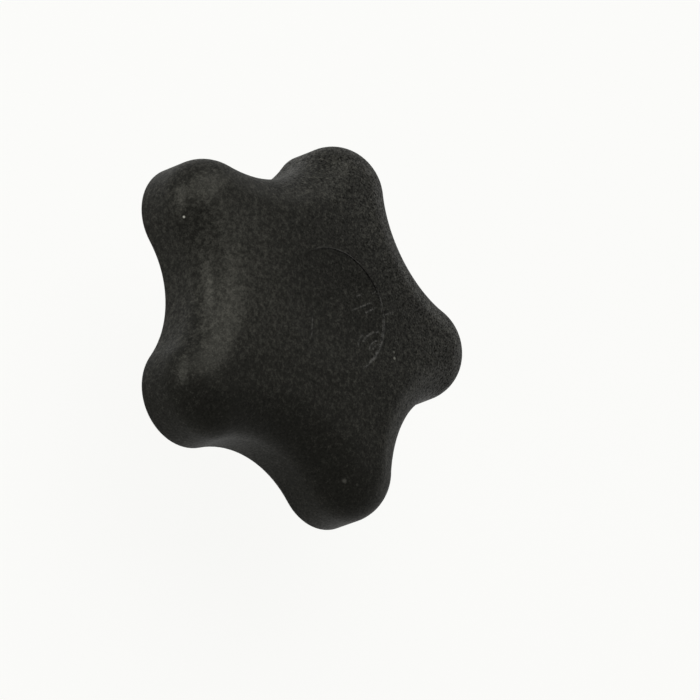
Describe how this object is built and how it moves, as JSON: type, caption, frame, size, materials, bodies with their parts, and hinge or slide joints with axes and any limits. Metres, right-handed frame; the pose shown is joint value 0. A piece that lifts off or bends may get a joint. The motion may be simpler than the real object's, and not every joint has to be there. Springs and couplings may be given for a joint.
{
  "type": "star knob",
  "caption": "Star knob: lobed black moulded grip with a shallow dish in its domed face, a cored-out underside and a threaded steel stud.",
  "frame": {"origin": "on the knob's axis, at the flat end of the hub where the stud comes out", "axes": "+Z along the knob's axis, out through its face; the stud points along -Z; +X along one lobe"},
  "size_m": [0.0589, 0.0612, 0.0369],
  "materials": {
    "moulded_plastic": "matte, fine spark-eroded grain",
    "plated_steel": "bright zinc plate"
  },
  "bodies": {
    "root": {"knob_body": "moulded_plastic", "stud": "plated_steel"}
  },
  "joints": []
}
